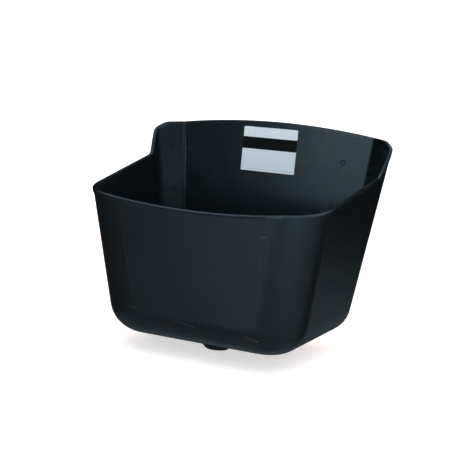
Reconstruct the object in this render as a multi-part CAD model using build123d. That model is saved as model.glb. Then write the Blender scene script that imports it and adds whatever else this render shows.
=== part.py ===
from build123d import *
from math import cos, radians, sin, sqrt
import os

os.makedirs("parts", exist_ok=True)

# Wall or corner feed trough, moulded in one piece, with a push-in drain bung.
# Heights count up from the underside of the floor.
# Depths count forward from the wall face, so a depth d lies at Y = -d.
# Width runs along X and is the same on both sides of the middle.

# Moulded shell
wall_thickness = 4.0
floor_thickness = 4.0
half_width_at_base = 158.9
side_draft = 0.16
side_toe_in = 0.054
front_depth_at_base = 285.8
front_draft = 0.204
front_corner_radius = 65.0
rear_corner_radius = 15.0
floor_edge_radius = 50.0
rear_floor_edge_radius = 46.0
# The floor is faced flat this far above where the rear rounds would run out
floor_facing = 0.5

# Rear facets, at half a right angle, which meet the two walls of a room corner
facet_setback_at_base = 21.9
back_panel_flare = 0.101
facet_angle = 45.0
fold_radius = 6.0

# Rim: crowned at the wall, then down in an S to a straight fall towards the front
crown_height = 333.8
crown_radius = 1152.0
shoulder_depth = 45.0
shoulder_height = 302.0
shoulder_fall = 0.82
shoulder_radius = 14.0
throat_fall = 1.9
throat_radius = 22.0
rim_height_at_wall = 276.0
rim_fall = 0.226
lip_dip_height = 193.8
lip_dip_radius = 930.0

# Bead along the rim
bead_height = 6.0
bead_outside = 1.3
bead_inside = 1.0
bead_bevel = 1.7

# Drilling marks moulded into the inner faces
mark_diameter = 7.0
mark_groove = 1.2
mark_depth = 0.6
upper_mark_height = 277.0
lower_mark_height = 203.4
upper_mark_half_pitch = 120.0
lower_mark_half_pitch = 108.5

# Drain: a collar under the floor with a tapered bung in it
drain_depth = 182.0
bore_diameter = 28.0
seat_diameter = 46.0
seat_recess = 1.2
collar_diameter = 47.0
collar_tip_diameter = 35.0
collar_length = 19.5
collar_bevel = 6.0
collar_foot = 3.0
bung_clearance = 0.3
bung_taper = 0.6
bung_flange_diameter = 43.0
bung_flange_thickness = 5.0
bung_nub_diameter = 14.6
bung_nub_length = 2.3
bung_bevel = 1.2
grip_length = 26.0
grip_thickness = 7.0
grip_height = 12.0

# Plain stick-on label on the back panel
label_width = 95.0
label_height = 74.0
label_thickness = 0.25
label_middle_x = -8.0
label_below_crown = 11.3
label_corner_radius = 1.5

# Room above and around the part for the trimming shapes
margin = front_corner_radius
top_of_blank = crown_height + margin / 2


def wall_lines(height, inset_rear, inset_free):
    """Plan lines of the right half at one height, as (normal x, normal depth, distance)."""
    fold = half_width_at_base - facet_setback_at_base + back_panel_flare * height
    side = half_width_at_base + side_draft * height
    front = front_depth_at_base + front_draft * height
    facet = radians(facet_angle)
    side_norm = sqrt(1 + side_toe_in**2)
    side_inset = inset_free * sqrt(1 + side_draft**2)
    front_inset = inset_free * sqrt(1 + front_draft**2)
    back_line = (0.0, -1.0, -inset_rear)
    facet_line = (sin(facet), -cos(facet), fold * sin(facet) - inset_rear)
    side_line = (1 / side_norm, side_toe_in / side_norm, side / side_norm - side_inset)
    front_line = (0.0, 1.0, front - front_inset)
    return back_line, facet_line, side_line, front_line


def crossing(line_a, line_b):
    """Point where two plan lines cross, as (x, depth)."""
    det = line_a[0] * line_b[1] - line_b[0] * line_a[1]
    x = (line_a[2] * line_b[1] - line_b[2] * line_a[1]) / det
    depth = (line_a[0] * line_b[2] - line_b[0] * line_a[2]) / det
    return x, depth


def both_hands(right, height):
    """Corner points at one height, from plan points on the right and the same ones mirrored."""
    left = [(-x, depth) for x, depth in reversed(right)]
    return [Vector(x, -depth, height) for x, depth in right + left]


def rear_corners(height, inset_rear, inset_free):
    """Where the facet meets the back panel and the side wall, on the right hand."""
    back_line, facet_line, side_line, _ = wall_lines(height, inset_rear, inset_free)
    return crossing(back_line, facet_line), crossing(facet_line, side_line)


def drafted_prism(lower, upper):
    """Solid with flat sloping sides between two level outlines."""
    faces = [Face(Wire.make_polygon(lower)), Face(Wire.make_polygon(upper))]
    for i in range(len(lower)):
        j = (i + 1) % len(lower)
        faces.append(Face(Wire.make_polygon([lower[i], lower[j], upper[j], upper[i]])))
    return Solid(Shell(faces))


def upright_edges(solid, places):
    """For each point, the long upright edge of a solid whose middle lies nearest to it."""
    uprights = [e for e in solid.edges() if abs(e.bounding_box().size.Z) > top_of_blank / 3]
    return [min(uprights, key=lambda e: (e.center() - place).length) for place in places]


def floor_edges(solid):
    """Edges of the lowest face, from the front to the back."""
    return solid.faces().sort_by(Axis.Z)[0].edges().sort_by(Axis.Y)


def bowl_blank(inset_rear, inset_free, low, high, rounded_floor):
    """Front and sides with their round corners, running on behind the wall face."""
    outlines = []
    for height in (low, high):
        _, _, side_line, front_line = wall_lines(height, inset_rear, inset_free)
        behind = (0.0, -1.0, 2 * margin)
        right = [crossing(behind, side_line), crossing(side_line, front_line)]
        outlines.append(both_hands(right, height))
    blank = drafted_prism(*outlines)
    places = [(a + b) / 2 for a, b in zip(*outlines)][1:3]
    blank = blank.fillet(front_corner_radius - inset_free, upright_edges(blank, places))
    if rounded_floor:
        blank = blank.fillet(floor_edge_radius - inset_free, floor_edges(blank)[:5])
    return blank


def rear_blank(inset_rear, inset_free, low, high, rounded_floor):
    """Back panel and facets, running on past the front of the bowl."""
    outlines = []
    foot = low - floor_facing if rounded_floor else low
    for height in (foot, high):
        back_line, facet_line, _, _ = wall_lines(height, inset_rear, inset_free)
        ahead = (0.0, 1.0, front_depth_at_base + 3 * margin)
        right = [crossing(back_line, facet_line), crossing(facet_line, ahead)]
        outlines.append(both_hands(right, height))
    blank = drafted_prism(*outlines)
    if rounded_floor:
        blank = blank.fillet(rear_floor_edge_radius - inset_rear, floor_edges(blank)[1:])
    return blank


def drafted_blank(inset_rear, inset_free, low, high, rounded_floor):
    """Solid between the drafted walls, with its upright corners and floor edge rounded."""
    size = (inset_rear, inset_free, low, high, rounded_floor)
    blank = (bowl_blank(*size) & rear_blank(*size)).solids()[0]
    places = []
    for point_low, point_high in zip(
        rear_corners(low, inset_rear, inset_free), rear_corners(high, inset_rear, inset_free)
    ):
        x = (point_low[0] + point_high[0]) / 2
        depth = (point_low[1] + point_high[1]) / 2
        places.append([Vector(hand * x, -depth, (low + high) / 2) for hand in (-1, 1)])
    folds, rear = places
    blank = blank.fillet(rear_corner_radius - inset_free, upright_edges(blank, rear))
    return blank.fillet(fold_radius, upright_edges(blank, folds))


def under_crown(drop):
    """Everything below the crowned line of the wall edge, lowered square to itself by drop."""
    radius = crown_radius - drop
    half = half_width_at_base + side_draft * top_of_blank + margin
    rise = sqrt(radius**2 - half**2)
    middle = crown_height - crown_radius
    with BuildPart() as region:
        with BuildSketch(Plane.XZ.offset(-margin)):
            with BuildLine():
                ThreePointArc((-half, middle + rise), (0, middle + radius), (half, middle + rise))
                Polyline((half, middle + rise), (half, -margin), (-half, -margin), (-half, middle + rise))
            make_face()
        extrude(amount=front_depth_at_base + 3 * margin)
    return region.part


def under_side_line(drop):
    """Everything below the S of the side rims, lowered square to itself by drop."""
    half = half_width_at_base + side_draft * top_of_blank + margin
    far = front_depth_at_base + 2 * margin
    top_left = (margin, shoulder_height + shoulder_fall * (shoulder_depth + margin))
    shoulder = (-shoulder_depth, shoulder_height)
    at_wall = rim_height_at_wall
    throat_depth = (shoulder_height + throat_fall * shoulder_depth - at_wall) / (throat_fall - rim_fall)
    throat = (-throat_depth, at_wall - rim_fall * throat_depth)
    front_end = (-far, at_wall - rim_fall * far)
    with BuildSketch(Plane.YZ) as profile:
        with BuildLine():
            FilletPolyline(
                top_left, shoulder, throat, front_end, radius=[shoulder_radius, throat_radius]
            )
            Polyline(front_end, (-far, -margin), (margin, -margin), top_left)
        make_face()
    face = profile.sketch.faces()[0]
    if drop > 0:
        face = offset(face, amount=-drop).faces()[0]
    return extrude(face, amount=half, both=True)


def over_lip_dip(drop):
    """Everything above the shallow dip in the front rim, which falls as the rim does."""
    half = half_width_at_base + side_draft * top_of_blank + margin
    lip_depth = front_depth_at_base + front_draft * lip_dip_height
    far = lip_depth + margin
    low = lip_dip_height - rim_fall * margin - drop
    rise = low + lip_dip_radius - sqrt(lip_dip_radius**2 - half**2)
    high = low + top_of_blank
    with BuildPart() as region:
        with BuildSketch(Plane.XZ.offset(far)):
            with BuildLine():
                ThreePointArc((-half, rise), (0, low), (half, rise))
                Polyline((half, rise), (half, high), (-half, high), (-half, rise))
            make_face()
        extrude(amount=lip_depth / 2, dir=(0, 1, rim_fall))
    return region.part


def under_rim(drop):
    """Everything below the rim, lowered by drop."""
    return (under_crown(drop) & under_side_line(drop)) - over_lip_dip(drop)


def drilling_mark(x, depth, height, facing):
    """Ring groove for one drilling mark, sunk square into an inner face."""
    plane = Plane(origin=(x, -depth, height), z_dir=facing)
    outer_ring = Circle(mark_diameter / 2 + mark_groove / 2)
    ring = plane * (outer_ring - Circle(mark_diameter / 2 - mark_groove / 2))
    return extrude(ring, amount=mark_depth, both=True)


# Hollow shell, trimmed to the rim
outer = drafted_blank(0.0, 0.0, 0.0, top_of_blank, True)
inner = drafted_blank(wall_thickness, wall_thickness, floor_thickness, top_of_blank + 5, True)
rim_zone = under_rim(0.0)
shell = (outer - inner) & rim_zone

# Bead along the free rim, flush with the wall faces at the back
bead_outer = drafted_blank(0.0, -bead_outside, 0.0, top_of_blank, False)
bead_inset = wall_thickness + bead_inside
bead_inner = drafted_blank(bead_inset, bead_inset, -5.0, top_of_blank + 5, False)
bead = ((bead_outer - bead_inner) & rim_zone) - under_rim(bead_height)
tub = shell + bead

# Bevelled bead edges
rim_skin = rim_zone - under_rim(0.3)
rim_edges = [
    e
    for e in tub.edges()
    if all(rim_skin.is_inside(e.position_at(t), tolerance=0.05) for t in (0.1, 0.5, 0.9))
]
tub = tub.chamfer(bead_bevel, None, rim_edges)

# Drain collar and its bore
drain = Pos(0, -drain_depth, 0)
straight = collar_length - collar_bevel
with BuildPart() as collar_build:
    with BuildSketch(Plane.XZ):
        with BuildLine():
            Polyline(
                (0, floor_thickness / 2),
                (collar_diameter / 2, floor_thickness / 2),
                (collar_diameter / 2, -straight),
                (collar_tip_diameter / 2, -collar_length),
                (0, -collar_length),
                close=True,
            )
        make_face()
    revolve(axis=Axis.Z)
tub = tub + drain * collar_build.part
foot = [
    e
    for e in tub.edges().filter_by(GeomType.CIRCLE)
    if abs(e.center().Z) < 0.01 and abs(e.radius - collar_diameter / 2) < 0.01
]
tub = tub.chamfer(collar_foot, None, foot)
bore = Pos(0, 0, -collar_length - 1) * Cylinder(
    bore_diameter / 2, collar_length + floor_thickness + 2, align=(Align.CENTER, Align.CENTER, Align.MIN)
)
seat = Pos(0, 0, floor_thickness - seat_recess) * Cylinder(
    seat_diameter / 2, seat_recess + 1, align=(Align.CENTER, Align.CENTER, Align.MIN)
)
tub = tub - drain * bore - drain * seat

# Drilling marks on the back panel and, half way across, on each facet
facet_sine = sin(radians(facet_angle))
facet_cosine = cos(radians(facet_angle))
facet_lean = back_panel_flare * facet_sine
marks = []
for height, half_pitch in (
    (upper_mark_height, upper_mark_half_pitch),
    (lower_mark_height, lower_mark_half_pitch),
):
    fold_point, corner_point = rear_corners(height, wall_thickness, wall_thickness)
    middle_x = (fold_point[0] + corner_point[0]) / 2
    middle_depth = (fold_point[1] + corner_point[1]) / 2
    for hand in (-1, 1):
        marks.append(drilling_mark(hand * half_pitch, wall_thickness, height, (0, -1, 0)))
        inward = (-hand * facet_sine, -facet_cosine, facet_lean)
        marks.append(drilling_mark(hand * middle_x, middle_depth, height, inward))
for mark in marks:
    tub = tub - mark

# Drain bung: flange on the floor seat, tapered shank in the bore, nub to push it out
flange_under = floor_thickness - seat_recess
flange_top = flange_under + bung_flange_thickness
shank_radius = bore_diameter / 2 - bung_clearance
with BuildPart() as bung_build:
    with BuildSketch(Plane.XZ):
        with BuildLine():
            Polyline(
                (0, flange_top),
                (bung_flange_diameter / 2, flange_top),
                (bung_flange_diameter / 2, flange_under),
                (shank_radius, flange_under),
                (shank_radius - bung_taper, -collar_length),
                (bung_nub_diameter / 2, -collar_length),
                (bung_nub_diameter / 2, -collar_length - bung_nub_length),
                (0, -collar_length - bung_nub_length),
                close=True,
            )
        make_face()
    revolve(axis=Axis.Z)
    rims = bung_build.edges().filter_by(GeomType.CIRCLE).sort_by(Axis.Z)
    chamfer([rims[0], rims[-1]], bung_bevel)
    with BuildSketch(Plane.XY.offset(flange_top - 1)):
        SlotOverall(grip_length, grip_thickness)
    extrude(amount=grip_height + 1)
    chamfer(bung_build.faces().sort_by(Axis.Z)[-1].edges(), bung_bevel)
bung = drain * bung_build.part

# Blank label, flat against the inner face of the back panel
label_middle_height = crown_height - label_below_crown - label_height / 2
label_place = (label_middle_x, -wall_thickness, label_middle_height)
label_plane = Plane(origin=label_place, x_dir=(1, 0, 0), z_dir=(0, -1, 0))
label_outline = label_plane * RectangleRounded(label_width, label_height, label_corner_radius)
label = extrude(label_outline, amount=label_thickness)

# Origin: wall face, mid-width, at the height of the upper drilling marks
to_datum = Pos(0, 0, -upper_mark_height)
for name, piece in (("tub", tub), ("drain_bung", bung), ("label_blank", label)):
    export_step(to_datum * piece, f"parts/{name}.step")
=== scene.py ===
"""Looks of a moulded feed trough with a drain bung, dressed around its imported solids."""

import logging
import math
from dataclasses import dataclass, field
from enum import Enum
from typing import Any, Optional, Union

import bmesh
import bpy
from mathutils import Matrix, Vector
from mathutils.bvhtree import BVHTree


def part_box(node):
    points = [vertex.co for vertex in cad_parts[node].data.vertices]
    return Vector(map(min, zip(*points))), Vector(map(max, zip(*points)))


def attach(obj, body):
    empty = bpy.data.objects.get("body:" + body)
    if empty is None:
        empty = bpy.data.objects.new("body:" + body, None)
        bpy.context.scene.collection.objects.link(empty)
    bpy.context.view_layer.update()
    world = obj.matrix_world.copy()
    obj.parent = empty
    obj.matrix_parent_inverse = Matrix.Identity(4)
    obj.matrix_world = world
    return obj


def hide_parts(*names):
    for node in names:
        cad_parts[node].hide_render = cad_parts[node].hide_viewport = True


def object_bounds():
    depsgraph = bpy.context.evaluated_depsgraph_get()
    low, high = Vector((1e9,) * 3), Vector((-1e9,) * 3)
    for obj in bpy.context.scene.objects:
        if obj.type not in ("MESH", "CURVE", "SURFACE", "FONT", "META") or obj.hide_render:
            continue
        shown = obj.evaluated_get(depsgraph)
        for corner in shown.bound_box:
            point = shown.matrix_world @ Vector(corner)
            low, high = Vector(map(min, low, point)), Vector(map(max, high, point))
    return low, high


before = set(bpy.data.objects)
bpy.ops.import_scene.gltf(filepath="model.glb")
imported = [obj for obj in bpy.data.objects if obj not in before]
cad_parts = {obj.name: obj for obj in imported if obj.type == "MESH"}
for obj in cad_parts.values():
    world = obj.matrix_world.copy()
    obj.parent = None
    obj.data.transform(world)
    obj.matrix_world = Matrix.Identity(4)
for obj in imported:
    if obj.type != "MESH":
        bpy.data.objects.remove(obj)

CAD_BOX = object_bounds()
LOG = logging.getLogger("feed_trough")
WELD_DISTANCE = 0.000004
NORMAL_WEIGHT = 60

Number = Union[int, float]
Pair = tuple[float, float]
Triple = tuple[float, float, float]
Colour = tuple[float, float, float]


class Space(Enum):
    """The coordinates that a tree of shader nodes reads."""

    PIECE = "Object"
    SURROUND = "Generated"


class Signal:
    """One number running through a shader tree, written in plain expressions."""

    def __init__(self, graph: "Graph", socket: bpy.types.NodeSocket) -> None:
        """Wraps an output socket of the graph."""
        self.graph = graph
        self.socket = socket

    def _math(self, operation: str, *others: Any, clamp: bool = False) -> "Signal":
        """Adds one Math node that starts from this signal."""
        return self.graph.maths(operation, self, *others, clamp=clamp)

    def __add__(self, other: Any) -> "Signal":
        """Sum."""
        return self._math("ADD", other)

    __radd__ = __add__

    def __sub__(self, other: Any) -> "Signal":
        """Difference."""
        return self._math("SUBTRACT", other)

    def __rsub__(self, other: Any) -> "Signal":
        """Difference taken from a number."""
        return self.graph.maths("SUBTRACT", other, self)

    def __mul__(self, other: Any) -> "Signal":
        """Product."""
        return self._math("MULTIPLY", other)

    __rmul__ = __mul__

    def __truediv__(self, other: Any) -> "Signal":
        """Quotient."""
        return self._math("DIVIDE", other)

    def __abs__(self) -> "Signal":
        """Size without its sign."""
        return self._math("ABSOLUTE")

    def largest(self, other: Any) -> "Signal":
        """The larger of the two."""
        return self._math("MAXIMUM", other)

    def root(self) -> "Signal":
        """Square root."""
        return self._math("SQRT")

    def clipped(self) -> "Signal":
        """Kept from 0 to 1."""
        return self._math("ADD", 0.0, clamp=True)

    def between(self, low: Number, high: Number) -> "Signal":
        """Eases from 0 at low to 1 at high, and falls instead where low is the larger.

        Args:
            low: where the result is 0.
            high: where the result is 1.

        Returns:
            The eased signal.
        """
        node = self.graph.node(
            "ShaderNodeMapRange",
            {"interpolation_type": "SMOOTHSTEP", "clamp": True},
            {"Value": self, "From Min": low, "From Max": high},
        )
        return Signal(self.graph, node.outputs["Result"])


@dataclass(frozen=True)
class Mottle:
    """Soft noise: its cycles per metre, octaves, weight of the finer ones, and stretch."""

    scale: float
    detail: float = 3.0
    rough: float = 0.5
    stretch: Optional[Triple] = None


class Wiring:
    """A node tree of any kind, filled through one method."""

    def __init__(self, tree: bpy.types.NodeTree) -> None:
        """Keeps the tree that is to be filled."""
        self.tree = tree

    def node(
        self,
        kind: str,
        settings: Optional[dict[str, Any]] = None,
        sockets: Optional[dict[Any, Any]] = None,
    ) -> bpy.types.Node:
        """Adds a node.

        Args:
            kind: the node's type.
            settings: its properties, set before its sockets.
            sockets: values or links by socket name or number.

        Returns:
            The new node.
        """
        node = self.tree.nodes.new(kind)
        for key, value in (settings or {}).items():
            setattr(node, key, value)
        for key, value in (sockets or {}).items():
            target = node.inputs[key]
            source = value.socket if isinstance(value, Signal) else value
            if isinstance(source, bpy.types.NodeSocket):
                self.tree.links.new(source, target)
            elif isinstance(source, tuple) and len(source) < len(target.default_value):
                target.default_value = (*source, 1.0)
            else:
                target.default_value = source
        return node


class Graph(Wiring):
    """The shader tree of a material or of the surround."""

    def __init__(self, owner: Union[bpy.types.Material, bpy.types.World], space: Space) -> None:
        """Empties the owner's tree and reads its coordinates.

        Args:
            owner: the new material or world.
            space: the coordinates that the tree reads.
        """
        owner.use_nodes = True
        super().__init__(owner.node_tree)
        self.owner = owner
        self.tree.nodes.clear()
        self.place = self.node("ShaderNodeTexCoord").outputs[space.value]
        split = self.node("ShaderNodeSeparateXYZ", {}, {"Vector": self.place})
        self.x = Signal(self, split.outputs["X"])
        self.y = Signal(self, split.outputs["Y"])
        self.z = Signal(self, split.outputs["Z"])

    @classmethod
    def material(cls, name: str) -> "Graph":
        """Starts a material on the piece's own coordinates."""
        return cls(bpy.data.materials.new(name), Space.PIECE)

    def maths(self, operation: str, *values: Any, clamp: bool = False) -> Signal:
        """Adds one Math node.

        Args:
            operation: its operation.
            values: its values or signals, in order.
            clamp: whether the result is kept from 0 to 1.

        Returns:
            The node's result.
        """
        settings = {"operation": operation, "use_clamp": clamp}
        node = self.node("ShaderNodeMath", settings, dict(enumerate(values)))
        return Signal(self, node.outputs[0])

    def stretched(self, scale: Triple) -> bpy.types.NodeSocket:
        """The coordinates, scaled by a factor on each axis."""
        sockets = {"Vector": self.place, "Scale": scale}
        return self.node("ShaderNodeMapping", {"vector_type": "POINT"}, sockets).outputs["Vector"]

    def noise(self, mottle: Mottle) -> Signal:
        """Lays soft noise, about 0.5 on average.

        Args:
            mottle: its sizes.

        Returns:
            The noise.
        """
        node = self.node(
            "ShaderNodeTexNoise",
            {"noise_dimensions": "3D"},
            {
                "Vector": self.stretched(mottle.stretch) if mottle.stretch else self.place,
                "Scale": mottle.scale,
                "Detail": mottle.detail,
                "Roughness": mottle.rough,
            },
        )
        return Signal(self, node.outputs["Fac"])

    def tint(self, amount: Any, low: Any, high: Any) -> bpy.types.NodeSocket:
        """Mixes two colours.

        Args:
            amount: how much of the second, from 0 to 1.
            low: the first colour.
            high: the second colour.

        Returns:
            The mixed colour's socket.
        """
        node = self.node(
            "ShaderNodeMix",
            {"data_type": "RGBA", "clamp_factor": True},
            {0: amount, 6: low, 7: high},
        )
        return node.outputs[2]

    def bump(self, height: Any, depth: float, below: Any = None) -> bpy.types.NodeSocket:
        """Turns a height signal to a surface normal.

        Args:
            height: the height, from 0 to 1.
            depth: what 1 stands for, in metres.
            below: a normal that this one is laid on.

        Returns:
            The normal's socket.
        """
        sockets = {"Height": height, "Distance": depth, "Strength": 1.0}
        if below is not None:
            sockets["Normal"] = below
        return self.node("ShaderNodeBump", {}, sockets).outputs["Normal"]

    def finish(self, sockets: dict[str, Any]) -> bpy.types.Material:
        """Adds the surface shader and the output.

        Args:
            sockets: values or links of the surface shader.

        Returns:
            The finished material.
        """
        shader = self.node("ShaderNodeBsdfPrincipled", {}, sockets)
        self.node("ShaderNodeOutputMaterial", {}, {"Surface": shader.outputs["BSDF"]})
        return self.owner


@dataclass(frozen=True)
class Scratch:
    """A thin pale scratch between two points of a wall seen square on, in metres."""

    start: Pair
    end: Pair
    width: float
    strength: float
    edge: float = 1.25

    def shown(self, graph: Graph) -> Signal:
        """Draws the scratch.

        Args:
            graph: the material's tree.

        Returns:
            Its strength on the scratch and 0 away from it.
        """
        (ax, az), (bx, bz) = self.start, self.end
        length = math.hypot(bx - ax, bz - az)
        ux, uz = (bx - ax) / length, (bz - az) / length
        across = (graph.x - ax) * -uz + (graph.z - az) * ux
        along = (graph.x - ax) * ux + (graph.z - az) * uz
        past = (abs(along - length / 2) - length / 2).largest(0.0)
        reach = (across * across + past * past).root()
        return reach.between(self.width * self.edge, 0.0) * self.strength


@dataclass(frozen=True)
class Scuffs:
    """The scratches of one wall, broken up a little."""

    scratches: tuple[Scratch, ...]
    strength: float = 0.80
    breaks: Mottle = Mottle(480.0, 3.0, 0.7)
    break_range: Pair = (0.32, 0.62)

    def shown(self, graph: Graph) -> Signal:
        """Draws the most that any of the scratches shows.

        Args:
            graph: the material's tree.

        Returns:
            The scuffs, from 0 to 1.
        """
        shown = self.scratches[0].shown(graph)
        for scratch in self.scratches[1:]:
            shown = shown.largest(scratch.shown(graph))
        return shown * graph.noise(self.breaks).between(*self.break_range) * self.strength


@dataclass(frozen=True)
class Fold:
    """The line down which the back panel folds into each facet."""

    at: float = 0.1659
    height: float = 0.028
    lean: float = 0.0948
    line: Pair = (0.0014, 0.0008)
    depth: Pair = (-0.012, -0.010)

    def reach(self, graph: Graph) -> Signal:
        """How far from mid-width the fold is, at each height."""
        return (graph.z - self.height) * self.lean + self.at

    def split_line(self, graph: Graph, inner: Signal) -> Signal:
        """The line that the mould's split leaves down each fold, on the inner side only."""
        line = abs(abs(graph.x) - self.reach(graph)).between(*self.line)
        return line * (graph.y.between(*self.depth) * inner)


@dataclass(frozen=True)
class PanelDust:
    """Feed dust wiped down the right-hand part of the back panel, thinner towards the floor."""

    colour: Colour = (0.098, 0.076, 0.054)
    level: float = 0.33
    wiped: Mottle = Mottle(1.0, 4.0, 0.6, (46.0, 46.0, 9.0))
    wiped_range: Pair = (0.36, 0.68)
    wiped_share: float = 0.7
    blotch: Mottle = Mottle(38.0, 4.0, 0.55)
    blotch_range: Pair = (0.38, 0.68)
    blotch_share: float = 0.5
    side: Pair = (0.010, 0.115)
    off_fold: Pair = (0.0005, 0.002)
    height: Pair = (-0.085, 0.045)
    low_share: float = 0.25

    def shown(self, graph: Graph, fold: Signal, rear: Signal) -> Signal:
        """Lays the dust.

        Args:
            graph: the material's tree.
            fold: how far from mid-width the fold is.
            rear: 1 on the back panel's inner face.

        Returns:
            The dust, from 0 to 1.
        """
        wiped = graph.noise(self.wiped).between(*self.wiped_range) * self.wiped_share
        blotch = graph.noise(self.blotch).between(*self.blotch_range) * self.blotch_share
        side = graph.x.between(*self.side) * (fold - graph.x).between(*self.off_fold)
        height = graph.z.between(*self.height) * (1.0 - self.low_share) + self.low_share
        return ((wiped + blotch) * side * height * rear * self.level).clipped()


@dataclass(frozen=True)
class FacetDustAndLight:
    """Dust, even from side to side, on the two inner faces that stand at 45 degrees, with painted
    light: it grows towards the bottom to lighten the lower part that the facets' own walls shade.
    """

    level: float = 0.18
    lean: float = 0.101
    outer_edge: Pair = (0.1643, 0.1613)
    off_fold: Pair = (0.001, 0.004)
    depth: Pair = (-0.050, -0.036)
    under_rim: Pair = (0.052, 0.044)
    # Painted light: the dust grows towards the bottom to lighten the shaded lower facets.
    height: Pair = (0.01, -0.09)
    patches: Mottle = Mottle(30.0, 2.0)
    patch_share: float = 0.4

    def shown(self, graph: Graph, fold: Signal) -> Signal:
        """Lays the dust and the painted light.

        Args:
            graph: the material's tree.
            fold: how far from mid-width the fold is.

        Returns:
            The dust with the painted light, from 0 to 1.
        """
        reach = abs(graph.x) + graph.y - graph.z * self.lean
        facet = reach.between(*self.outer_edge) * (abs(graph.x) - fold).between(*self.off_fold)
        facet = facet * graph.y.between(*self.depth) * graph.z.between(*self.under_rim)
        patches = graph.noise(self.patches) * self.patch_share + (1.0 - self.patch_share)
        return facet * graph.z.between(*self.height) * patches * self.level


@dataclass(frozen=True)
class HandledBead:
    """Dust that handling leaves in patches along the top of the bead."""

    level: float = 0.10
    at_wall: float = -0.001
    fall: float = 0.226
    bead_height: float = 0.006
    soft: float = 0.0015
    above: Pair = (0.005, 0.003)
    patches: Mottle = Mottle(60.0, 3.0)
    patch_range: Pair = (0.40, 0.80)

    def shown(self, graph: Graph) -> Signal:
        """Lays the patches.

        Args:
            graph: the material's tree.

        Returns:
            The dust, from 0 to 1.
        """
        over = graph.z - (graph.y * self.fall + self.at_wall)
        top = over.between(-self.bead_height - self.soft, -self.bead_height + self.soft)
        top = top * over.between(*self.above)
        return top * graph.noise(self.patches).between(*self.patch_range) * self.level


# Placed by X and Z where the real moulding is scratched.
FRONT_SCUFFS = Scuffs(
    (
        Scratch((-0.154, -0.091), (-0.145, -0.106), 0.0007, 0.22),
        Scratch((-0.145, -0.106), (-0.130, -0.122), 0.0007, 0.25),
        Scratch((-0.130, -0.122), (-0.117, -0.132), 0.0007, 0.22),
        Scratch((-0.1039, -0.139), (-0.1000, -0.155), 0.0008, 0.12),
        Scratch((-0.1000, -0.157), (-0.0962, -0.173), 0.0010, 0.34),
        Scratch((-0.0954, -0.2320), (-0.0859, -0.2313), 0.0012, 0.42),
        Scratch((-0.0658, -0.2360), (-0.0654, -0.2362), 0.0012, 0.45),
        Scratch((-0.0449, -0.2400), (-0.0445, -0.2400), 0.0011, 0.40),
        Scratch((-0.0248, -0.2412), (-0.0110, -0.2432), 0.0010, 0.40),
        Scratch((-0.0110, -0.2432), (0.0041, -0.2456), 0.0011, 0.52),
        Scratch((0.0221, -0.2302), (0.0374, -0.2319), 0.0007, 0.20),
        Scratch((0.0477, -0.2299), (0.0481, -0.2299), 0.0013, 0.75),
        Scratch((0.0814, -0.2470), (0.0899, -0.2496), 0.0011, 0.60),
        Scratch((0.0899, -0.2496), (0.0982, -0.2512), 0.0015, 0.80),
        Scratch((0.0835, -0.2555), (0.0865, -0.2622), 0.0022, 0.16),
        Scratch((0.0974, -0.1325), (0.0979, -0.1398), 0.0010, 0.20),
        Scratch((0.0979, -0.1398), (0.0985, -0.1471), 0.0014, 0.42),
        Scratch((0.0998, -0.1056), (0.1053, -0.1049), 0.0015, 0.70),
        Scratch((0.1327, -0.1301), (0.1328, -0.1355), 0.0008, 0.38),
        Scratch((-0.1393, -0.1030), (-0.1389, -0.1030), 0.0010, 0.50),
        Scratch((0.1062, -0.0795), (0.1196, -0.0782), 0.0010, 0.85),
    )
)
PANEL_SCUFFS = Scuffs(
    (
        Scratch((-0.1008, 0.0165), (-0.0998, -0.0114), 0.0007, 0.10),
        Scratch((-0.0998, -0.0114), (-0.1028, -0.0387), 0.0007, 0.16),
        Scratch((0.1200, 0.0385), (0.1330, 0.0372), 0.0022, 0.40),
    )
)


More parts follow.
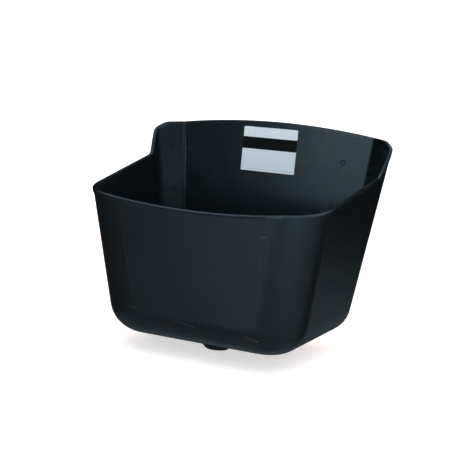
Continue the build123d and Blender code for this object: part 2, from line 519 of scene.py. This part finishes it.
@dataclass(frozen=True)
class MouldedPolyethylene:
    """Very dark blue-grey polyethylene with a satin skin, light dust, scuffs and painted light on
    the lower inner facets.
    """

    colour: Colour = (0.0044, 0.0054, 0.0057)
    paler: Colour = (0.0055, 0.0067, 0.0071)
    # Pale dust, also the pale of the painted light on the lower inner facets.
    dust: Colour = (0.055, 0.058, 0.058)
    sheen: Colour = (0.786, 0.896, 1.0)
    gloss: float = 0.315
    refraction: float = 1.50
    roughness: float = 0.19
    clouds: Mottle = Mottle(9.0, 4.0, 0.55)
    cloud_range: Pair = (0.35, 0.68)
    cloud_roughness: float = 0.05
    flow: Mottle = Mottle(1.0, 3.0, 0.5, (75.0, 75.0, 5.0))
    flow_roughness: float = 0.02
    speckle: Mottle = Mottle(520.0, 2.0, 0.6)
    speck_range: Pair = (0.66, 0.80)
    speck_patches: Mottle = Mottle(24.0, 3.0)
    patch_range: Pair = (0.45, 0.70)
    speck_level: float = 0.06
    grain_depth: float = 0.000004
    peel: Mottle = Mottle(70.0, 2.0, 0.4)
    peel_depth: float = 0.000008
    dust_roughness: float = 0.4
    scuff_roughness: float = 0.2
    fold_roughness: float = 0.6
    front: Pair = (-0.235, -0.262)
    rear: Pair = (-0.030, -0.006)
    inner_skin: Pair = (-0.001, -0.003)
    front_scuffs: Scuffs = FRONT_SCUFFS
    panel_scuffs: Scuffs = PANEL_SCUFFS
    fold: Fold = Fold()
    panel_dust: PanelDust = PanelDust()
    facet_dust_and_light: FacetDustAndLight = FacetDustAndLight()
    handled: HandledBead = HandledBead()

    def material(self) -> bpy.types.Material:
        """Builds the material.

        Returns:
            The material of the moulded tub.
        """
        graph = Graph.material("moulded_polyethylene")
        cloudy = graph.noise(self.clouds)
        speckle = graph.noise(self.speckle)
        flow = graph.noise(self.flow)
        base = graph.tint(cloudy.between(*self.cloud_range), self.colour, self.paler)

        inner = graph.y.between(*self.inner_skin)
        rear = graph.y.between(*self.rear) * inner
        fold = self.fold.reach(graph)
        scuffs = self.front_scuffs.shown(graph) * graph.y.between(*self.front)
        scuffs = scuffs.largest(self.panel_scuffs.shown(graph) * rear)
        specks = speckle.between(*self.speck_range)
        specks = specks * graph.noise(self.speck_patches).between(*self.patch_range)
        feed = self.panel_dust.shown(graph, fold, rear)
        # The facets' share is partly painted light that lightens their lower part.
        dust = specks * self.speck_level + self.facet_dust_and_light.shown(graph, fold)

        colour = graph.tint((dust + self.handled.shown(graph)).clipped(), base, self.dust)
        colour = graph.tint(feed, colour, self.panel_dust.colour)
        colour = graph.tint(scuffs, colour, self.dust)

        roughness = self.roughness + (cloudy - 0.5) * self.cloud_roughness
        roughness = roughness + (flow - 0.5) * self.flow_roughness
        roughness = roughness + (dust + feed) * self.dust_roughness
        roughness = roughness + scuffs * self.scuff_roughness
        roughness = roughness + self.fold.split_line(graph, inner) * self.fold_roughness
        normal = graph.bump(graph.noise(self.peel), self.peel_depth)
        return graph.finish(
            {
                "Base Color": colour,
                "Roughness": roughness.clipped(),
                "Normal": graph.bump(speckle, self.grain_depth, normal),
                "IOR": self.refraction,
                "Specular IOR Level": self.gloss,
                "Specular Tint": self.sheen,
            }
        )


@dataclass(frozen=True)
class MattBlack:
    """Matt black rubber with a fine grain and a little floor dust; also the black of the painted
    shade on the drain collar and in the marks.
    """

    name: str = "bung_rubber"
    colour: Colour = (0.0075, 0.0075, 0.008)
    dusty: Colour = (0.050, 0.050, 0.048)
    roughness: float = 0.62
    shine: float = 0.35
    refraction: float = 1.52
    grain: Mottle = Mottle(900.0, 3.0, 0.6)
    grain_depth: float = 0.00004
    bloom: Mottle = Mottle(55.0, 4.0, 0.6)
    bloom_range: Pair = (0.52, 0.80)
    bloom_level: float = 0.22
    bloom_roughness: float = 0.20

    def material(self) -> bpy.types.Material:
        """Builds the material.

        Returns:
            The material of the bung, or of the painted shade on the drain's collar or in the
            marks.
        """
        graph = Graph.material(self.name)
        bloom = graph.noise(self.bloom)
        dust = bloom.between(*self.bloom_range) * self.bloom_level
        roughness = self.roughness + (bloom - 0.5) * self.bloom_roughness
        return graph.finish(
            {
                "Base Color": graph.tint(dust, self.colour, self.dusty),
                "Roughness": roughness.clipped(),
                "Normal": graph.bump(graph.noise(self.grain), self.grain_depth),
                "IOR": self.refraction,
                "Specular IOR Level": self.shine,
            }
        )


@dataclass(frozen=True)
class PrintedFilm:
    """White film with one plain dark band and a thin frame line, and nothing printed on it."""

    white: Colour = (0.79, 0.73, 0.715)
    band: Colour = (0.0030, 0.0028, 0.0022)
    line: Colour = (0.56, 0.50, 0.46)
    band_top: float = 0.77
    band_foot: float = 0.50
    band_soft: float = 0.004
    frame_inset: float = 0.0035
    line_width: float = 0.0005
    line_core: float = 0.4
    line_level: float = 0.5
    blotch: Mottle = Mottle(30.0, 4.0, 0.6)
    blotch_range: Pair = (0.45, 0.85)
    blotch_level: float = 0.12
    blotch_roughness: float = 0.12
    grain: Mottle = Mottle(160.0, 2.0)
    grain_depth: float = 0.00003
    roughness: float = 0.50
    gloss: float = 0.09
    refraction: float = 1.46

    def material(self) -> bpy.types.Material:
        """Builds the material from the label's own box.

        Returns:
            The material of the plain label.
        """
        low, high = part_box("label_blank")
        tall = high.z - low.z
        graph = Graph.material("printed_film")
        across = graph.x - (low.x + high.x) / 2
        up = (graph.z - low.z) / tall
        band = up.between(self.band_foot - self.band_soft, self.band_foot + self.band_soft)
        band = band * up.between(self.band_top + self.band_soft, self.band_top - self.band_soft)
        half_x = (high.x - low.x) / 2 - self.frame_inset
        half_z = tall * self.band_foot / 2 - self.frame_inset
        middle_z = low.z + tall * self.band_foot / 2
        edge = (abs(across) - half_x).largest(abs(graph.z - middle_z) - half_z)
        line = abs(edge).between(self.line_width, self.line_width * self.line_core)
        blotch = graph.noise(self.blotch)
        colour = graph.tint(line * self.line_level, self.white, self.line)
        grime = blotch.between(*self.blotch_range) * self.blotch_level
        colour = graph.tint(grime, colour, self.line)
        roughness = self.roughness + (blotch - 0.5) * self.blotch_roughness
        return graph.finish(
            {
                "Base Color": graph.tint(band, colour, self.band),
                "Roughness": roughness.clipped(),
                "Normal": graph.bump(graph.noise(self.grain), self.grain_depth),
                "IOR": self.refraction,
                "Specular IOR Level": self.gloss,
            }
        )


@dataclass(frozen=True)
class StudioPaper:
    """White translucent paper over a light table, under and behind the part."""

    colour: Colour = (0.98, 0.71, 0.62)
    glow: float = 0.60
    glow_colour: Colour = (1.0, 1.0, 1.0)
    roughness: float = 0.9
    fibre: Mottle = Mottle(300.0, 3.0)
    fibre_depth: float = 0.00005

    def material(self) -> bpy.types.Material:
        """Builds the material.

        Returns:
            The material of the floor.
        """
        graph = Graph.material("studio_paper")
        return graph.finish(
            {
                "Base Color": self.colour,
                "Roughness": self.roughness,
                "Specular IOR Level": 0.0,
                "Emission Color": self.glow_colour,
                "Emission Strength": self.glow,
                "Normal": graph.bump(graph.noise(self.fibre), self.fibre_depth),
            }
        )


def settled(piece: bpy.types.Object) -> bpy.types.Object:
    """Makes what a piece's modifiers give its own plain mesh.

    Args:
        piece: the object, already in the scene.

    Returns:
        The same object, with no modifiers left.
    """
    bpy.context.view_layer.update()
    shown = piece.evaluated_get(bpy.context.evaluated_depsgraph_get())
    mesh = bpy.data.meshes.new_from_object(shown)
    piece.modifiers.clear()
    piece.data = mesh
    return piece


def smooth_copy(node: str, name: str, sharp: float) -> bpy.types.Object:
    """Copies a solid's mesh, joins its loose triangles and shades its rounds smooth.

    Args:
        node: the solid's name.
        name: the copy's name.
        sharp: the angle in degrees past which an edge stays crisp.

    Returns:
        The copy, at the origin.
    """
    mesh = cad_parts[node].data.copy()
    mesh.name = name
    shape = bmesh.new()
    shape.from_mesh(mesh)
    bmesh.ops.remove_doubles(shape, verts=shape.verts, dist=WELD_DISTANCE)
    bmesh.ops.dissolve_degenerate(shape, edges=shape.edges, dist=WELD_DISTANCE)
    for face in shape.faces:
        face.smooth = True
    for edge in shape.edges:
        edge.smooth = edge.calc_face_angle(math.pi) < math.radians(sharp)
    shape.to_mesh(mesh)
    shape.free()
    piece = bpy.data.objects.new(name, mesh)
    bpy.context.scene.collection.objects.link(piece)
    even = piece.modifiers.new("even_normals", "WEIGHTED_NORMAL")
    even.keep_sharp = True
    even.weight = NORMAL_WEIGHT
    return settled(piece)


def dress(node: bpy.types.Object, material: bpy.types.Material) -> None:
    """Gives a solid's own object one material.

    Args:
        node: the solid's object.
        material: its new material.
    """
    if not node.material_slots:
        node.data.materials.append(material)
    for slot in node.material_slots:
        slot.material = material
    LOG.info("%s: %s", node.name, material.name)


class ShapeTree(Wiring):
    """A Geometry Nodes tree with named inputs for its sizes."""

    def __init__(self, name: str, sizes: dict[str, Number]) -> None:
        """Starts the tree.

        Args:
            name: the tree's name.
            sizes: the sizes by the names of their inputs, with whole numbers for counts.
        """
        super().__init__(bpy.data.node_groups.new(name, "GeometryNodeTree"))
        face = self.tree.interface
        for way in ("INPUT", "OUTPUT"):
            face.new_socket("Geometry", in_out=way, socket_type="NodeSocketGeometry")
        self.sizes = {}
        for label, size in sizes.items():
            kind = "NodeSocketInt" if isinstance(size, int) else "NodeSocketFloat"
            socket = face.new_socket(label, in_out="INPUT", socket_type=kind)
            self.sizes[socket.identifier] = size
        self.given = self.node("NodeGroupInput").outputs

    def circle(self, radius: str, sides: str) -> bpy.types.NodeSocket:
        """A round curve, by the names of the inputs that hold its radius and sides."""
        sockets = {"Resolution": self.given[sides], "Radius": self.given[radius]}
        return self.node("GeometryNodeCurvePrimitiveCircle", {}, sockets).outputs["Curve"]

    def sweep(
        self, path: bpy.types.NodeSocket, section: bpy.types.NodeSocket, capped: bool
    ) -> bpy.types.NodeSocket:
        """Sweeps a section along a path and shades the sides smooth.

        Args:
            path: the path's curve.
            section: the section's curve.
            capped: whether the ends are closed.

        Returns:
            The swept shape's socket.
        """
        sockets = {"Curve": path, "Profile Curve": section, "Fill Caps": capped}
        swept = self.node("GeometryNodeCurveToMesh", {}, sockets).outputs["Mesh"]
        smooth = self.node("GeometryNodeSetShadeSmooth", {}, {"Geometry": swept})
        return smooth.outputs["Geometry"]

    def made(
        self,
        name: str,
        mesh: bpy.types.Mesh,
        shape: bpy.types.NodeSocket,
        material: bpy.types.Material,
    ) -> bpy.types.Object:
        """Ends the tree, runs it on a mesh and keeps what it gives as a plain mesh.

        Args:
            name: the new object's name.
            mesh: the mesh that the tree starts from.
            shape: the socket that holds the finished shape.
            material: what it is made of.

        Returns:
            The new object, at the origin.
        """
        real = self.node("GeometryNodeRealizeInstances", {}, {"Geometry": shape})
        sockets = {"Geometry": real.outputs["Geometry"], "Material": material}
        dressed = self.node("GeometryNodeSetMaterial", {}, sockets)
        self.node("NodeGroupOutput", {}, {"Geometry": dressed.outputs["Geometry"]})
        piece = bpy.data.objects.new(name, mesh)
        bpy.context.scene.collection.objects.link(piece)
        modifier = piece.modifiers.new(self.tree.name, "NODES")
        modifier.node_group = self.tree
        for identifier, size in self.sizes.items():
            modifier[identifier] = size
        return settled(piece)


@dataclass
class DrillingMarks:
    """Matt black rings set in the ring marks that show where to drill: painted shade in their
    grooves.
    """

    name: str = "mark_shade_rings"
    ring_radius: float = 0.0034
    ring_thickness: float = 0.00062
    sunk: float = 0.00032
    sides: int = 32
    section_sides: int = 6
    panel_depth: float = 0.004
    levels: Pair = (0.0, -0.0736)
    panel_pitches: Pair = (0.120, 0.1085)
    facet_places: tuple[Pair, Pair] = ((0.18022, 0.02090), (0.17073, 0.01884))
    facet_facing: Triple = (-0.7053, -0.7053, 0.0712)
    # Painted shade: the rings are matt black so the grooves of the marks look shaded.
    ring_shade: MattBlack = MattBlack("mark_shade_rings", dusty=(0.006, 0.006, 0.006), shine=0.02)

    def _points(self) -> bpy.types.Mesh:
        """Makes one point for each mark, with the way that its wall faces.

        Returns:
            The points, with their facings as an attribute.
        """
        places, facings = [], []
        inward, ahead, up = self.facet_facing
        for level, pitch, (facet_x, facet_depth) in zip(
            self.levels, self.panel_pitches, self.facet_places
        ):
            for hand in (-1, 1):
                for place, facing in (
                    ((hand * pitch, -self.panel_depth, level), (0.0, -1.0, 0.0)),
                    ((hand * facet_x, -facet_depth, level), (hand * inward, ahead, up)),
                ):
                    facings.append(facing)
                    places.append(Vector(place) - Vector(facing) * self.sunk)
        mesh = bpy.data.meshes.new(self.name)
        mesh.from_pydata(places, [], [])
        facing = mesh.attributes.new("facing", "FLOAT_VECTOR", "POINT")
        facing.data.foreach_set("vector", [part for way in facings for part in way])
        return mesh

    def build(self) -> None:
        """Sets one thin black ring of painted shade in each mark and fixes them to the tub."""
        tree = ShapeTree(
            "mark_rings",
            {
                "Ring radius": self.ring_radius,
                "Ring thickness": self.ring_thickness,
                "Sides": self.sides,
                "Section sides": self.section_sides,
            },
        )
        facing = tree.node(
            "GeometryNodeInputNamedAttribute", {"data_type": "FLOAT_VECTOR"}, {"Name": "facing"}
        )
        turned = tree.node(
            "FunctionNodeAlignRotationToVector",
            {"axis": "Z"},
            {"Vector": facing.outputs["Attribute"]},
        )
        ring = tree.sweep(
            tree.circle("Ring radius", "Sides"),
            tree.circle("Ring thickness", "Section sides"),
            capped=False,
        )
        placed = tree.node(
            "GeometryNodeInstanceOnPoints",
            {},
            {
                "Points": tree.given["Geometry"],
                "Instance": ring,
                "Rotation": turned.outputs["Rotation"],
            },
        )
        rings = tree.made(
            self.name, self._points(), placed.outputs["Instances"], self.ring_shade.material()
        )
        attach(rings, "tub")
        LOG.info("%s: %d faces, rides on tub", rings.name, len(rings.data.polygons))


@dataclass
class RimRoll:
    """The round of the bead, down one cheek, round the front and up the other cheek."""

    name: str = "rim_roll"
    radius: float = 0.0034
    below: float = 0.0030
    inward: float = 0.0006
    sides: int = 14
    cheek_start: float = -0.047
    cheek_end: float = -0.240
    cheek_steps: int = 100
    front_steps: int = 150
    reach: Pair = (0.060, 0.290)
    cast_height: float = 0.2
    feel: float = 0.0005
    crest_band: float = 0.0004
    smoothing: int = 4

    def _crest(self, tree: BVHTree, centre: Vector, way: Vector) -> Vector:
        """Finds the middle of the rim's top on one line out from the inside.

        Args:
            tree: the moulding's faces.
            centre: where the line starts.
            way: its level direction.

        Returns:
            The point on the rim.
        """
        near, far = self.reach
        found = []
        for step in range(int((far - near) / self.feel)):
            out = near + step * self.feel
            hit = tree.ray_cast(centre + way * out, Vector((0.0, 0.0, -1.0)))[0]
            if hit is not None:
                found.append((hit.z, out))
        crest = max(found)[0]
        outs = [out for height, out in found if height > crest - self.crest_band]
        middle = sum(outs) / len(outs) - self.inward
        return Vector((centre.x, centre.y, crest)) + way * middle

    def _lines(self) -> list[Pair]:
        """Lays out the lines on which the rim is felt for.

        Returns:
            Each line's start along the cheeks and its turn from the front, in radians.
        """
        run = self.cheek_end - self.cheek_start
        cheek = [
            (self.cheek_start + run * step / self.cheek_steps, math.pi / 2)
            for step in range(self.cheek_steps)
        ]
        front = [
            (self.cheek_end, math.pi * (0.5 - step / self.front_steps))
            for step in range(self.front_steps + 1)
        ]
        return [*cheek, *front, *((depth, -turn) for depth, turn in reversed(cheek))]

    def _path(self, moulding: bpy.types.Mesh) -> list[Vector]:
        """Follows the rim.

        Args:
            moulding: the tub's smooth mesh.

        Returns:
            The middle of the roll, from one cheek to the other.
        """
        tree = BVHTree.FromPolygons(
            [vertex.co for vertex in moulding.vertices],
            [tuple(face.vertices) for face in moulding.polygons],
        )
        path = []
        for depth, turn in self._lines():
            way = Vector((math.sin(turn), -math.cos(turn), 0.0))
            path.append(self._crest(tree, Vector((0.0, depth, self.cast_height)), way))
        for _ in range(self.smoothing):
            inner = [(a + b * 2 + c) / 4 for a, b, c in zip(path, path[1:], path[2:])]
            path = [path[0], *inner, path[-1]]
        middles = []
        for before, here, after in zip([path[0], *path], path, [*path[1:], path[-1]]):
            along = (after - before).normalized()
            up = Vector((0.0, 0.0, 1.0))
            up = (up - along * along.dot(up)).normalized()
            middles.append(here - up * self.below)
        return middles

    def build(self, moulding: bpy.types.Mesh, plastic: bpy.types.Material) -> None:
        """Sweeps the roll along the moulding's rim and fixes it to the tub.

        Args:
            moulding: the tub's smooth mesh.
            plastic: the tub's material.
        """
        path = self._path(moulding)
        mesh = bpy.data.meshes.new(self.name)
        mesh.from_pydata(path, [(index, index + 1) for index in range(len(path) - 1)], [])
        tree = ShapeTree("rim_sweep", {"Section radius": self.radius, "Sides": self.sides})
        curve = tree.node("GeometryNodeMeshToCurve", {}, {"Mesh": tree.given["Geometry"]})
        swept = tree.sweep(
            curve.outputs["Curve"], tree.circle("Section radius", "Sides"), capped=True
        )
        roll = tree.made(self.name, mesh, swept, plastic)
        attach(roll, "tub")
        LOG.info("%s: %d faces, rides on tub", roll.name, len(roll.data.polygons))


@dataclass
class Trough:
    """The moulded tub with its plain label, painted shade on its drain collar and in its marks,
    and the round of its rim.
    """

    shell_name: str = "trough_moulding"
    crisp_angle: float = 50.0
    collar_below: float = -0.2775
    plastic: MouldedPolyethylene = MouldedPolyethylene()
    # Painted shade: the drain collar is the tub's own plastic, given matt black because it sits
    # in shadow under the tub.
    collar: MattBlack = MattBlack("drain_collar_painted_shade", shine=0.08)
    film: PrintedFilm = PrintedFilm()
    marks: DrillingMarks = field(default_factory=DrillingMarks)
    roll: RimRoll = field(default_factory=RimRoll)

    def build(self) -> None:
        """Dresses the tub and the label, paints shade on the drain collar, and adds the shade
        rings in the marks and the roll.
        """
        moulding = smooth_copy("tub", self.shell_name, self.crisp_angle)
        plastic = self.plastic.material()
        moulding.data.materials.clear()
        moulding.data.materials.append(plastic)
        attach(moulding, "tub")
        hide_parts("tub")
        LOG.info("%s: %d faces, rides on tub", moulding.name, len(moulding.data.polygons))
        # Painted shade: faces below the floor of the tub take the matt black.
        moulding.data.materials.append(self.collar.material())
        for face in moulding.data.polygons:
            face.material_index = int(face.center.z < self.collar_below)
        self.marks.build()
        self.roll.build(moulding.data, plastic)
        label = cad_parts["label_blank"]
        dress(label, self.film.material())


@dataclass
class DrainBung:
    """The bung that lifts out of the drain."""

    name: str = "bung_moulding"
    crisp_angle: float = 50.0
    rubber: MattBlack = MattBlack()

    def build(self) -> None:
        """Dresses the bung."""
        bung = smooth_copy("drain_bung", self.name, self.crisp_angle)
        bung.data.materials.clear()
        bung.data.materials.append(self.rubber.material())
        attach(bung, "drain_bung")
        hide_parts("drain_bung")
        LOG.info("%s: %d faces, rides on drain_bung", bung.name, len(bung.data.polygons))


@dataclass(frozen=True)
class Softbox:
    """An evenly bright patch of the surround, by compass and height angles in degrees."""

    left: float
    right: float
    foot: float
    head: float
    level: float
    soft_left: float
    soft_right: float
    soft_height: float

    def shown(self, compass: Signal, height: Signal) -> Signal:
        """How bright the patch is in each direction.

        Args:
            compass: the angle round from the front, in degrees, with the right as 90.
            height: the angle above the horizon, in degrees.

        Returns:
            Its level inside, and 0 outside.
        """
        soft = self.soft_height
        across = compass.between(self.left - self.soft_left, self.left + self.soft_left)
        across = across * compass.between(
            self.right + self.soft_right, self.right - self.soft_right
        )
        up = height.between(self.foot - soft, self.foot + soft)
        up = up * height.between(self.head + soft, self.head - soft)
        return across * up * self.level


@dataclass
class Studio:
    """Floor, lights and camera."""

    paper: StudioPaper = StudioPaper()
    image_size: float = 465.0
    focal_pixels: float = 850.0
    sensor: float = 36.0
    eye: Triple = (0.4483, -1.3667, 0.0049)
    yaw: float = 0.35566
    pitch: float = 0.09824
    roll: float = 0.09768
    centre_offset: float = 0.5
    clip: Pair = (0.02, 50.0)
    floor_half: float = 3.0
    sweep_radius: float = 1.2
    sweep_start: float = 1.1
    wall_height: float = 3.2
    sweep_steps: int = 32
    light_colour: Colour = (0.72, 0.97, 1.13)
    room_level: float = 0.004
    backdrop: Colour = (1.0, 1.0, 1.0)
    backdrop_level: float = 0.98
    ceiling_level: float = 1.8
    ceiling_from: Pair = (34.0, 56.0)
    behind_from: Pair = (110.0, 150.0)
    behind_loss: float = 0.3
    table_level: float = 0.23
    table_from: Pair = (-24.0, -50.0)
    softboxes: tuple[Softbox, ...] = (
        Softbox(-16.5, 13.0, -4.0, 42.0, 2.95, 1.5, 5.0, 3.0),
        Softbox(-60.0, -18.0, 2.0, 42.0, 0.30, 15.0, 2.0, 4.0),
        Softbox(31.0, 57.0, -4.0, 42.0, 2.5, 4.0, 5.0, 4.0),
        Softbox(57.0, 100.0, -8.0, 45.0, 0.45, 6.0, 15.0, 5.0),
        Softbox(-27.0, 100.0, -36.0, -9.0, 0.86, 10.5, 40.0, 8.0),
        Softbox(-25.5, -14.0, -36.0, -6.0, 0.38, 6.0, 6.0, 8.0),
        Softbox(22.0, 66.0, -36.0, -6.0, 0.43, 10.0, 12.0, 8.0),
        Softbox(-60.0, -38.0, -42.0, -18.0, 0.11, 14.0, 7.0, 5.0),
        Softbox(-115.0, -60.0, -40.0, -21.0, 0.025, 15.0, 10.0, 5.0),
        Softbox(150.0, 200.0, -34.0, -12.6, 0.108, 10.0, 1.0, 4.0),
        Softbox(108.0, 146.0, 12.0, 48.0, 0.38, 12.0, 8.0, 6.0),
        Softbox(-200.0, -116.0, -34.0, -13.0, 0.045, 1.0, 12.0, 4.0),
    )

    def floor(self) -> None:
        """Makes the seamless paper: a level floor that curves up behind the part."""
        low, _ = CAD_BOX
        profile = [(-self.floor_half, 0.0), (self.sweep_start, 0.0)]
        for step in range(1, self.sweep_steps + 1):
            turn = math.pi / 2 * step / self.sweep_steps
            behind = self.sweep_start + self.sweep_radius * math.sin(turn)
            profile.append((behind, self.sweep_radius * (1 - math.cos(turn))))
        profile.append((self.sweep_start + self.sweep_radius, self.wall_height))
        shape = bmesh.new()
        ends = (-self.floor_half, self.floor_half)
        rows = [[shape.verts.new((x, y, low.z + z)) for x in ends] for y, z in profile]
        for (a, b), (c, d) in zip(rows, rows[1:]):
            shape.faces.new((a, b, d, c)).smooth = True
        mesh = bpy.data.meshes.new("studio_floor")
        shape.to_mesh(mesh)
        shape.free()
        floor = bpy.data.objects.new("studio_floor", mesh)
        mesh.materials.append(self.paper.material())
        floor.visible_glossy = False
        bpy.context.scene.collection.objects.link(floor)

    def camera(self) -> None:
        """Sets the camera where the picture was taken from."""
        sin, cos = math.sin, math.cos
        level = Vector((cos(self.yaw), sin(self.yaw), 0.0))
        away = cos(self.pitch)
        back = Vector((sin(self.yaw) * away, -cos(self.yaw) * away, sin(self.pitch)))
        upward = back.cross(level)
        right = cos(self.roll) * level + sin(self.roll) * upward
        up = -sin(self.roll) * level + cos(self.roll) * upward
        data = bpy.data.cameras.new("camera")
        data.sensor_width = self.sensor
        data.lens = self.focal_pixels / self.image_size * self.sensor
        data.shift_x = -self.centre_offset / self.image_size
        data.shift_y = self.centre_offset / self.image_size
        data.dof.use_dof = False
        data.clip_start, data.clip_end = self.clip
        camera = bpy.data.objects.new("camera", data)
        turned = Matrix((right, up, back)).transposed().to_4x4()
        camera.matrix_world = Matrix.Translation(Vector(self.eye)) @ turned
        bpy.context.scene.collection.objects.link(camera)
        bpy.context.scene.camera = camera

    def lights(self) -> None:
        """Surrounds the part with soft studio light."""
        world = bpy.data.worlds.new("surround")
        graph = Graph(world, Space.SURROUND)
        degrees = math.degrees(1.0)
        compass = graph.maths("ARCTAN2", graph.x, graph.y * -1.0) * degrees
        height = graph.maths("ARCSINE", graph.z) * degrees
        behind = abs(compass).between(*self.behind_from) * self.behind_loss
        level = height.between(*self.ceiling_from) * self.ceiling_level * (1.0 - behind)
        level = level + self.room_level
        level = level + height.between(*self.table_from) * self.table_level
        for softbox in self.softboxes:
            level = level + softbox.shown(compass, height)
        seen = Signal(graph, graph.node("ShaderNodeLightPath").outputs["Is Camera Ray"])
        level = level * (1.0 - seen) + seen * self.backdrop_level
        tone = graph.tint(seen, self.light_colour, self.backdrop)
        sky = graph.node("ShaderNodeBackground", {}, {"Color": tone, "Strength": level})
        graph.node("ShaderNodeOutputWorld", {}, {"Surface": sky.outputs["Background"]})
        bpy.context.scene.world = world
        bpy.context.scene.view_settings.view_transform = "Standard"


def main() -> None:
    """Builds the studio, the trough and the bung in order."""
    logging.basicConfig(level=logging.INFO, format="%(name)s %(message)s")
    studio = Studio()
    studio.floor()
    studio.camera()
    studio.lights()
    Trough().build()
    DrainBung().build()


if __name__ == "__main__":
    main()
